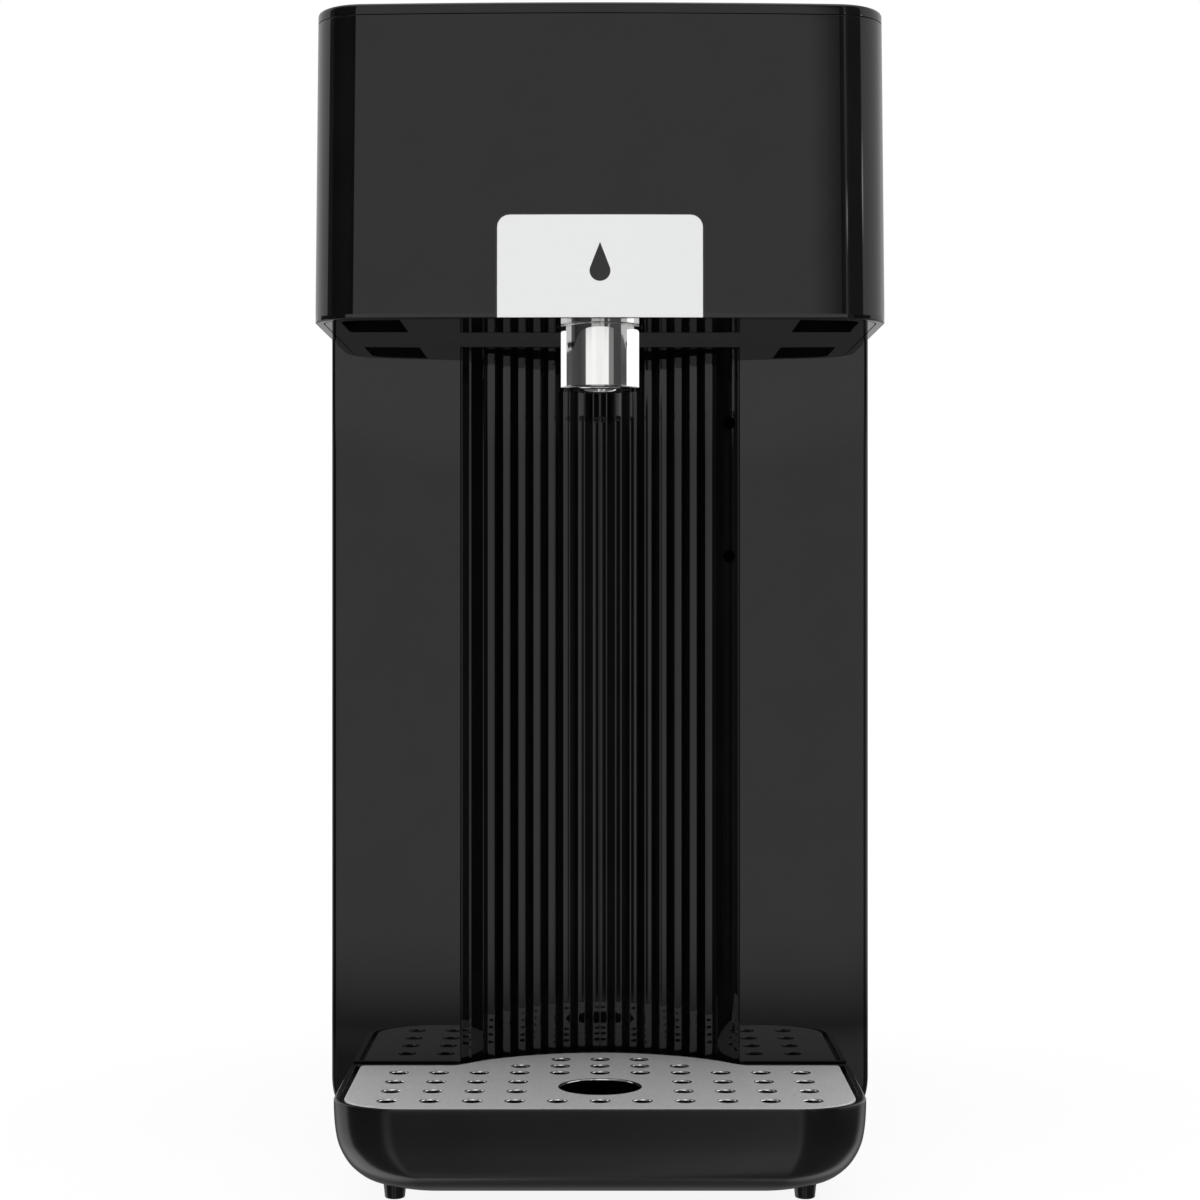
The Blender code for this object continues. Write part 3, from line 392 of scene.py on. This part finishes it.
def plate_slab(half, bottom, top, radius, near, far, columns=16):
    """A slab that follows the head's curved front, its top corners rounded."""
    bm = bmesh.new()
    xs = [half * (2 * k / columns - 1) for k in range(columns + 1)]
    extra = [half - radius * (1 - math.cos(math.radians(t))) for t in (0, 18, 36, 54, 72, 90)]
    xs = sorted(set([round(x, 4) for x in xs if abs(x) < half - radius]
                    + [round(x, 4) for x in extra] + [round(-x, 4) for x in extra]))
    grid = []
    for x in xs:
        beyond = max(0.0, abs(x) - (half - radius))
        roof = top - radius + math.sqrt(max(radius * radius - beyond * beyond, 0.0))
        pts = []
        for t in (0.0, 0.34, 0.67, 1.0):
            z = bottom + (roof - bottom) * t
            pts.append((x, z))
        grid.append(pts)
    front = [[bm.verts.new((x, head_front(x, z) + near, z)) for x, z in col] for col in grid]
    back = [[bm.verts.new((x, head_front(x, z) + far, z)) for x, z in col] for col in grid]
    n, m = len(front), len(front[0])
    for i in range(n - 1):
        for j in range(m - 1):
            bm.faces.new((front[i][j], front[i + 1][j], front[i + 1][j + 1], front[i][j + 1]))
            bm.faces.new((back[i][j], back[i][j + 1], back[i + 1][j + 1], back[i + 1][j]))
        bm.faces.new((front[i][0], back[i][0], back[i + 1][0], front[i + 1][0]))
        bm.faces.new((front[i][-1], front[i + 1][-1], back[i + 1][-1], back[i][-1]))
    for i in (0, n - 1):
        for j in range(m - 1):
            bm.faces.new((front[i][j], front[i][j + 1], back[i][j + 1], back[i][j]))
    return bm


# painted shadow: a dark slab a little wider and taller than the badge, standing in for the shade in the gap
# of the badge's pocket
finish("badge_shadow_gap", plate_slab(BADGE_HALF + 0.42, HEAD_Z + 0.35, BADGE_TOP + 0.42,
                                      BADGE_R + 0.4, -0.02, 0.6),
       INK_AND_GAP_SHADE, "housing", weighted=False)
finish("badge", plate_slab(BADGE_HALF, HEAD_Z + 0.14, BADGE_TOP, BADGE_R, -0.16, 0.9),
       BADGE, "housing", ("badge_plate",), angle=50, bevel=0.12, segments=2)

# a plain water drop, printed on the badge
drop = [(0.0, 249.6)]
drop += [(2.7 * math.cos(math.radians(t)), 242.2 + 2.7 * math.sin(math.radians(t)))
         for t in range(28, -91, -13)]
drop[-1] = (0.0, 242.2 - 2.7)
drop += [(-x, z) for x, z in reversed(drop[1:-1])]
bm = bmesh.new()
near = [bm.verts.new((x, head_front(x, z) - 0.19, z)) for x, z in drop]
far = [bm.verts.new((x, head_front(x, z) - 0.10, z)) for x, z in drop]
for i in range(len(near)):
    j = (i + 1) % len(near)
    bm.faces.new((near[i], near[j], far[j], far[i]))
bm.faces.new(near[::-1])
bm.faces.new(far)
finish("badge_drop", bm, INK_AND_GAP_SHADE, "housing", weighted=False)

# ============================ spout ==============================================
profile = [(7.7, 214.2), (8.2, 213.75), (SPOUT_R - 0.25, 213.45), (SPOUT_R - 0.06, 213.5),
           (SPOUT_R, 213.65), (SPOUT_R, 213.72), (SPOUT_R, 236.0), (7.7, 236.0)]
spout = finish("spout_tube", turned(profile, (0, SPOUT_Y, 0), ring=True, steps=128), CHROME,
               "housing", ("spout_sleeve",), angle=50)
finish("spout_seal", turned([(8.0, 213.25), (SPOUT_LIP_R - 0.12, 213.2), (SPOUT_LIP_R, 213.3),
                             (SPOUT_LIP_R, 213.42), (SPOUT_LIP_R - 0.12, 213.5),
                             (8.0, 213.55)], (0, SPOUT_Y, 0), ring=True, steps=128),
       GLOSS_RIB, "housing", angle=50)
finish("spout_insert", turned([(5.2, 214.6), (5.3, 213.5), (5.7, 213.05), (6.3, 212.9),
                               (6.95, 213.1), (7.3, 213.6), (7.4, 214.6), (7.4, 237.5),
                               (5.2, 237.5)], (0, SPOUT_Y, 0), ring=True, steps=96),
       CHROME, "housing", ("spout_nozzle",), angle=50)
finish("spout_ring", turned([(SPOUT_R + 0.05, 230.9), (SPOUT_R + 0.05, 230.02),
                             (14.0, 230.02), (14.0, 233.5), (SPOUT_R + 0.05, 233.5)],
                            (0, SPOUT_Y, 0), ring=True, steps=128),
       GLOSS, "housing", ("spout_collar",), angle=30)


def wire(radius, thick, z, squash=1.0):
    return turned([(radius + thick * math.cos(math.radians(t)),
                    z + squash * thick * math.sin(math.radians(t))) for t in range(0, 360, 30)],
                  (0, SPOUT_Y, 0), ring=True, steps=144)


finish("spout_ring_bead", wire(11.25, 0.11, 229.95), CHROME, "housing", angle=60)
finish("spout_lip_bead", wire(SPOUT_LIP_R, 0.12, 213.3), LIP, "housing", angle=60)

# strips beside the spout that only its chrome sees
linked = bpy.data.collections.new("spout_only")
linked.objects.link(spout)
for word, place, width, turn in (("left", (-0.0159, -0.0869, 0.2216), 0.0174, 52.5),
                                 ("right", (0.01585, -0.09175, 0.2216), 0.0257, -65.9)):
    data = bpy.data.lights.new(f"spout_strip_{word}", "AREA")
    data.shape = "RECTANGLE"
    data.size, data.size_y = width, 0.0165
    data.energy = 1.1 * math.pi * data.size * data.size_y
    strip = bpy.data.objects.new(f"spout_strip_{word}", data)
    scene.collection.objects.link(strip)
    strip.location = place
    strip.rotation_euler = (math.radians(-90), 0, math.radians(turn))
    strip.visible_camera = False
    strip.light_linking.receiver_collection = linked

# ============================ column front ========================================
def fascia_outline(outer, inner):
    """Right half of the column front: outer edge moved in by outer, alcove edge by inner."""
    low, radius = PAN_Z + 0.3 + outer, PAN_R - outer
    first = math.degrees(math.atan2(math.sqrt(radius ** 2 - (SEAM_Z - low) ** 2), SEAM_Z - low))
    right = [(ALCOVE_HALF + inner, FASCIA_TOP + inner), (ALCOVE_HALF + inner, low)]
    right += [(HALF_W - PAN_R + radius * math.sin(math.radians(t)),
               SEAM_Z - radius * math.cos(math.radians(t)))
              for t in [first + (90 - first) * k / 24 for k in range(25)]]
    right += [(HALF_W - outer, 232.0)]
    return mirrored(right)


rows = []
for k in range(7):
    t = math.radians(90 * k / 6)
    outer, inner = 1.5 * (1 - math.sin(t)), 0.3 * (1 - math.sin(t))
    rows.append([(x, PANEL_Y + 1.5 * (1 - math.cos(t)), z)
                 for x, z in fascia_outline(outer, inner)])
rows.append([(x, PANEL_Y + PANEL_T, z) for x, z in fascia_outline(0.0, 0.0)])
finish("column_fascia", stacked(rows), GLOSS, "housing", ("front_panel",),
       angle=40)


def rib_depth(x):
    return RIB_DEPTH - (RIB_R - math.sqrt(RIB_R ** 2 - x * x))




def recess_line(flank):
    """Right half of the visible recess: slightly crowned ribs, V grooves, then a flank."""
    line = []
    for n in range(RIB_COUNT):
        a, b, c = n * RIB_PITCH, (n + 0.5) * RIB_PITCH, (n + 1) * RIB_PITCH
        face = PANEL_Y + rib_depth((n + 0.25) * RIB_PITCH)
        middle, half = (a + b) / 2, (b - a) / 2
        for t in (-1.0, -0.93, -0.8, -0.6, -0.3, 0.0, 0.3, 0.6, 0.8, 0.93, 1.0):
            edge = max(abs(t) - 0.8, 0.0) / 0.2
            line.append((middle + t * half, face + 0.0055 * t * t + 0.05 * edge * edge))
        if n < RIB_COUNT - 1:
            line.append(((b + c) / 2, face + RIB_VEE))
    line[0] = (0.0, line[0][1] + 0.02)
    return line + flank


right_flank = [(x, PANEL_Y + d) for d, x in reversed(FLANK)]
left_flank = [(32.35, PANEL_Y + 9.6), (32.6, PANEL_Y + 9.4), (36.15, PANEL_Y + 5.0),
              (36.24, PANEL_Y + 4.93), (36.34, PANEL_Y + 4.9), (36.74, PANEL_Y + 4.88),
              (36.84, PANEL_Y + 4.82), (38.58, PANEL_Y + 2.84), (38.65, PANEL_Y + 2.8)]
backing = [(x, PANEL_Y + rib_depth(x) + RIB_GROOVE + 1.8) for x in (31.0, 26.0, 20.0, 13.0, 6.0)]
flange = [(46.0, PANEL_Y + 2.8), (46.0, PANEL_Y + 4.8), (41.2, PANEL_Y + 4.8),
          (39.6, PANEL_Y + 6.6), (37.6, PANEL_Y + 9.0), (34.6, PANEL_Y + 10.9)]
loop = recess_line(right_flank) + flange + backing
loop += [(-x, y) for x, y in reversed(recess_line(left_flank)[1:] + flange + backing)]
finish("alcove_lining", extruded(loop, PAN_Z + 0.3, HEAD_Z - 0.95), GLOSS_RIB, "housing",
       ("fluted_insert",), angle=24)
roof = [(38.9, PANEL_Y + 2.6), (38.9, PANEL_Y + 5.6), (36.6, PANEL_Y + 8.2)] + [
    (x, PANEL_Y + rib_depth(x) + RIB_GROOVE + 0.9) for x in (33.0, 26.0, 18.0, 9.0)]
finish("alcove_roof", extruded(mirrored(roof), HEAD_Z - 0.9, HEAD_Z - 0.3), GLOSS, "housing",
       weighted=False)

# ============================ drip tray ===========================================


def rear_depth(x):
    return BULGE_DEPTH - BULGE_R + math.sqrt(BULGE_R ** 2 - x * x)


def rear_line(shift):
    line = [(33.0 * k / 20, PANEL_Y + rear_depth(33.0 * k / 20) + shift) for k in range(21)]
    x0, x1 = 33.0, 41.5
    d0, d1 = rear_depth(x0), GRILLE_REAR - PANEL_Y
    slope = -x0 / math.sqrt(BULGE_R ** 2 - x0 * x0) * (x1 - x0)
    for k in range(1, 9):
        t = k / 8
        d = ((2 * t ** 3 - 3 * t ** 2 + 1) * d0 + (t ** 3 - 2 * t ** 2 + t) * slope
             + (-2 * t ** 3 + 3 * t ** 2) * d1)
        line.append((x0 + (x1 - x0) * t, PANEL_Y + d + shift))
    return line


def tray_outline(half, front, shift, corner=TRAY_CORNER, rear_r=2.0):
    line = rear_line(shift)
    rear = GRILLE_REAR + shift
    right = line[1:] + arc(half - rear_r, rear - rear_r, rear_r, rear_r, 90, 0, 5)
    right += arc(half - corner[0], front + corner[1], corner[0], corner[1], 0, -90, 24)
    return [line[0]] + right + [(-x, y) for x, y in reversed(right)]


curve = eased([(18.5, 4.0), (15.2, 4.45), (9.2, 6.5), (5.7, 9.0), (3.2, 12.0), (1.3, 16.0),
               (0.45, 20.0), (0.1, 24.0), (0.0, TRAY_TOP - 0.35)], 4)
curve += [(0.05, TRAY_TOP - 0.12), (0.25, TRAY_TOP)]
rings = []
for off, z in curve:
    corner = (max(TRAY_CORNER[0] - 0.5 * off, 8), max(TRAY_CORNER[1] - 0.4 * off, 7))
    rings.append(at_height(tray_outline(TRAY_HALF - off, FRONT_Y + 0.8 * off, 1.5, corner), z))
for z, off, front_off, rear in ((28.0, 1.5, 0.55, 0.5), (27.8, 1.6, 0.62, 0.4),
                                (26.7, 1.6, 0.62, 0.4), (26.69, 3.2, 2.4, -0.6),
                                (17.0, 3.6, 2.8, -0.6), (11.0, 7.6, 6.0, -0.6),
                                (7.4, 14.0, 11.5, -0.6)):
    corner = (max(TRAY_CORNER[0] - 0.6 * off, 7), max(TRAY_CORNER[1] - 0.5 * off, 6))
    rings.append(at_height(tray_outline(TRAY_HALF - off, FRONT_Y + front_off, rear, corner), z))
finish("tray_body", stacked(rings), GLOSS_TRAY, "drip_tray", ("drip_tray",),
       angle=50)
for side, word in ((-1, "left"), (1, "right")):
    finish(f"tray_peg_{word}",
           turned([(0, 0.0), (2.3, 0.0), (2.55, 0.12), (2.65, 0.4), (3.1, 4.6), (3.25, 5.4),
                   (3.1, 6.4), (0, 6.4)], (PEG_X * side, PEG_Y + 3.5, 0), steps=48),
           GLOSS_TRAY, "drip_tray", angle=50)

# ---- perforated grille -----------------------------------------------------------
corner = (TRAY_CORNER[0] - 2.0, TRAY_CORNER[1] - 1.0)
spots = []
for ahead, columns in ((51.4, range(0, 6)), (38.9, range(2, 6)), (26.5, range(2, 6)),
                       (14.1, range(0, 6)), (4.6, range(0, 3)), (-5.2, range(0, 2))):
    for n in columns:
        for side in ((1,) if n == 0 else (1, -1)):
            spots.append((side * n * HOLE_PITCH, PANEL_Y - ahead))
wells = [(x, y, 32, ((2.74, 28.0), (2.67, 27.985), (2.59, 27.93), (2.53, 27.84), (2.49, 27.72),
                     (2.47, 27.58), (2.47, 27.42))) for x, y in spots]
wells.append((0.0, DRAIN_Y, 96, ((DRAIN_R + 0.5, 28.0), (DRAIN_R + 0.3, 27.98),
                                 (DRAIN_R + 0.12, 27.9), (DRAIN_R + 0.02, 27.76),
                                 (DRAIN_R, 27.6), (DRAIN_R, 27.5), (DRAIN_R, 27.42))))


def loop_of(bm, points):
    verts = [bm.verts.new(p) for p in points]
    for i in range(len(verts)):
        bm.edges.new((verts[i], verts[(i + 1) % len(verts)]))
    return verts


bm = bmesh.new()
edge_levels = ((0.3, 28.0), (0.12, 27.96), (0.02, 27.85), (0.0, 27.7), (0.0, 27.42))
outer = []
for off, z in edge_levels:
    pts = at_height(tray_outline(GRILLE_HALF - off, GRILLE_FRONT + off, -off, corner, 1.2), z)
    outer.append([bm.verts.new(p) for p in pts])
hole_rows = []
for x, y, count, profile in wells:
    rows = []
    for r, z in profile:
        rows.append([bm.verts.new((x + r * math.cos(2 * math.pi * k / count),
                                   y + r * math.sin(2 * math.pi * k / count), z))
                     for k in range(count)])
    hole_rows.append(rows)
for level, z_index in ((0, "top"), (-1, "under")):
    edges = []
    for ring in [outer[level]] + [rows[level] for rows in hole_rows]:
        for i in range(len(ring)):
            edges.append(bm.edges.new((ring[i], ring[(i + 1) % len(ring)])))
    bmesh.ops.triangle_fill(bm, use_beauty=True, edges=edges)
for rings in [outer] + hole_rows:
    for low, high in zip(rings, rings[1:]):
        for i in range(len(low)):
            j = (i + 1) % len(low)
            bm.faces.new((low[i], low[j], high[j], high[i]))
lip_rows = {v for rows in hole_rows for ring in rows for v in ring}
for face in bm.faces:
    if len(face.verts) == 4 and all(v in lip_rows for v in face.verts):
        face.material_index = 1
finish("tray_grille", bm, STEEL, "drip_grille", ("drip_grille",), angle=70,
       second=LIP)

# ============================ camera and light =====================================
cam = bpy.data.cameras.new("camera")
cam.lens, cam.sensor_width, cam.clip_start, cam.clip_end = 72.6, 36.0, 0.01, 50.0
camera = bpy.data.objects.new("camera", cam)
scene.collection.objects.link(camera)
camera.location = (0.0, -0.739, 0.1573)
camera.rotation_euler = (math.radians(90), 0, 0)
scene.camera = camera
scene.view_settings.view_transform = "Standard"
scene.view_settings.look = "None"

world = bpy.data.worlds.new("studio")
scene.world = world
world.use_nodes = True
wt = world.node_tree
wt.nodes.clear()
link = wt.links.new


def wmath(op, a, b=None, clamp=False):
    made = wt.nodes.new("ShaderNodeMath")
    made.operation = op
    made.use_clamp = clamp
    for i, v in enumerate((a, b)):
        if v is None:
            continue
        if isinstance(v, (int, float)):
            made.inputs[i].default_value = v
        else:
            link(v, made.inputs[i])
    return made.outputs[0]


def wramp(value, low, high, stops):
    """Brightness by angle: stops are (angle, brightness up to 2)."""
    scaled = wmath("DIVIDE", wmath("SUBTRACT", value, low), high - low)
    made = wt.nodes.new("ShaderNodeValToRGB")
    ramp = made.color_ramp
    ramp.interpolation = "LINEAR"
    stops = sorted(stops)
    while len(ramp.elements) > 1:
        ramp.elements.remove(ramp.elements[-1])
    for i, (angle, level) in enumerate(stops):
        at = (angle - low) / (high - low)
        el = ramp.elements[0] if i == 0 else ramp.elements.new(at)
        el.position = at
        g = level / 2.0
        el.color = (g, g, g, 1)
    link(scaled, made.inputs["Fac"])
    return wmath("MULTIPLY", made.outputs["Color"], 2.0)


coords = wt.nodes.new("ShaderNodeTexCoord")
split = wt.nodes.new("ShaderNodeSeparateXYZ")
link(coords.outputs["Generated"], split.inputs[0])
dx, dy, dz = split.outputs
azimuth = wmath("MULTIPLY", wmath("ARCTAN2", dx, wmath("MULTIPLY", dy, -1.0)), 57.29578)
elevation = wmath("MULTIPLY", wmath("ARCSINE", dz), 57.29578)
high = wramp(azimuth, -180, 180, [
    (-180, 0.5), (-162, 0.7), (-145, 1.1), (-128, 1.25), (-96, 1.2), (-94, 1.15), (-93, 0.18),
    (-82, 0.14), (-78, 0.04), (-60, 0.07), (-40, 0.09), (-25, 0.06), (-24, 0.97), (-17, 0.98),
    (12.2, 0.98), (13.0, 0.08), (19, 0.14), (22.6, 0.17), (23.6, 0.75), (26.6, 0.75),
    (28, 0.3), (33, 0.15), (62, 0.14), (64.5, 0.2), (65.5, 1.1), (96, 1.2), (112, 1.25),
    (136, 1.3), (150, 1.0), (180, 0.5)])
wide = wramp(azimuth, -180, 180, [
    (-180, 1.2), (-119, 1.2), (-117, 0.1), (-60, 0.06), (-43, 0.1), (-41, 1.25), (-14, 1.25), (-9, 1.16), (9, 1.16), (14, 1.25), (25, 1.25),
    (26.5, 0.25), (39, 0.3), (41.5, 0.06), (84, 0.07), (87.5, 1.1), (180, 1.2)])
under = wramp(azimuth, -180, 180, [
    (-180, 0.14), (-150, 0.16), (-130, 0.9), (-96, 1.1), (-92, 0.1), (-50, 0.1), (-33, 0.12),
    (-27, 0.62), (-23, 0.55), (-19, 0.18), (-6, 0.2), (0, 0.25), (3, 0.38), (5, 0.42),
    (5.6, 0.6), (12, 0.6), (13.5, 0.12), (60, 0.1), (110, 0.12), (128, 0.9), (150, 0.16),
    (180, 0.14)])
low_part = wramp(elevation, -90, 90, [(-90, 1), (-10.2, 1), (-9.7, 0), (90, 0)])
spout_part = wramp(elevation, -90, 90, [(-90, 0), (4.0, 0), (4.3, 1), (6.5, 1), (6.62, 0),
                                        (90, 0)])
fade = wramp(elevation, -90, 90, [
    (-90, 1.7), (-40, 1.7), (-22, 1.2), (-12, 1.0), (-10.3, 1.0), (-9.9, 0.29), (-9.5, 0.42), (-9.25, 0.53),
    (-9.0, 0.68), (-8.4, 0.86), (-8.0, 0.95), (-7.3, 1.0), (30, 1.0), (45, 0.6), (58, 0.8),
    (70, 1.9), (90, 1.9)])


def wmix(a, b, share):
    return wmath("ADD", wmath("MULTIPLY", a, wmath("SUBTRACT", 1.0, share)),
                 wmath("MULTIPLY", b, share))


def lamp(az, el, across, tall, level):
    """A soft oval light in the surroundings, sizes in degrees."""
    u = wmath("DIVIDE", wmath("SUBTRACT", azimuth, az), across)
    v = wmath("DIVIDE", wmath("SUBTRACT", elevation, el), tall)
    far = wmath("SQRT", wmath("ADD", wmath("MULTIPLY", u, u), wmath("MULTIPLY", v, v)))
    return wmath("MULTIPLY", wmath("SUBTRACT", 1.0, far, clamp=True), level)


card_side = wramp(azimuth, -4, 4, [
    (-4, 0), (-0.49, 0), (-0.43, 0.86), (0.0, 0.86), (0.06, 0.99), (0.72, 0.99), (0.8, 0.87),
    (1.06, 0.87), (1.12, 0), (4, 0)])
card_up = wramp(elevation, -20, 20, [(-20, 0), (-9.6, 0), (-9.2, 1), (4.6, 1), (4.9, 0), (20, 0)])
card = wmath("SUBTRACT", 1.0, wmath("MULTIPLY", card_side, card_up))
top_part = wramp(elevation, -90, 90, [(-90, 0), (38, 0), (56, 1), (90, 1)])
around = wmix(wmix(wmix(high, wide, spout_part), under, low_part), 0.95, top_part)
studio = wmath("MULTIPLY", wmath("MULTIPLY", around, fade), card)
for spot in ((66.5, 11.7, 2.4, 1.5, 5.0), (27.0, 11.4, 2.2, 0.9, 4.0), (-161.0, 77.0, 16.0, 3.5, 5.0),
             (172.0, 66.0, 5.0, 6.0, 6.0)):
    studio = wmath("ADD", studio, lamp(*spot))

path = wt.nodes.new("ShaderNodeLightPath")
plain = wt.nodes.new("ShaderNodeBackground")
plain.inputs["Color"].default_value = (1, 1, 1, 1)
lit = wt.nodes.new("ShaderNodeBackground")
link(studio, lit.inputs["Strength"])
mix = wt.nodes.new("ShaderNodeMixShader")
out = wt.nodes.new("ShaderNodeOutputWorld")
link(path.outputs["Is Glossy Ray"], mix.inputs["Fac"])
link(plain.outputs[0], mix.inputs[1])
link(lit.outputs[0], mix.inputs[2])
link(mix.outputs[0], out.inputs["Surface"])

if hasattr(world, "cycles"):
    world.cycles.sampling_method = "MANUAL"
    world.cycles.sample_map_resolution = 2048

bpy.ops.mesh.primitive_circle_add(vertices=96, radius=4.0, fill_type="NGON")
floor = bpy.context.object
floor.name = "studio_floor"
made, tree, bsdf, co = shader_tree("pale_floor")
tint(tree, noise(tree, co, 3, 2), (0.115, 0.115, 0.115), (0.12, 0.12, 0.12),
     bsdf.inputs["Base Color"])
spread(tree, noise(tree, co, 8, 2), 0.9, 0.95, bsdf.inputs["Roughness"])
bsdf.inputs["Specular IOR Level"].default_value = 0.0
bsdf.inputs["Base Color"].default_value = (0.12, 0.12, 0.12, 1)
bsdf.inputs["Emission Color"].default_value = (1, 1, 1, 1)
bsdf.inputs["Emission Strength"].default_value = 0.9
floor.data.materials.append(made)
floor.visible_glossy = False
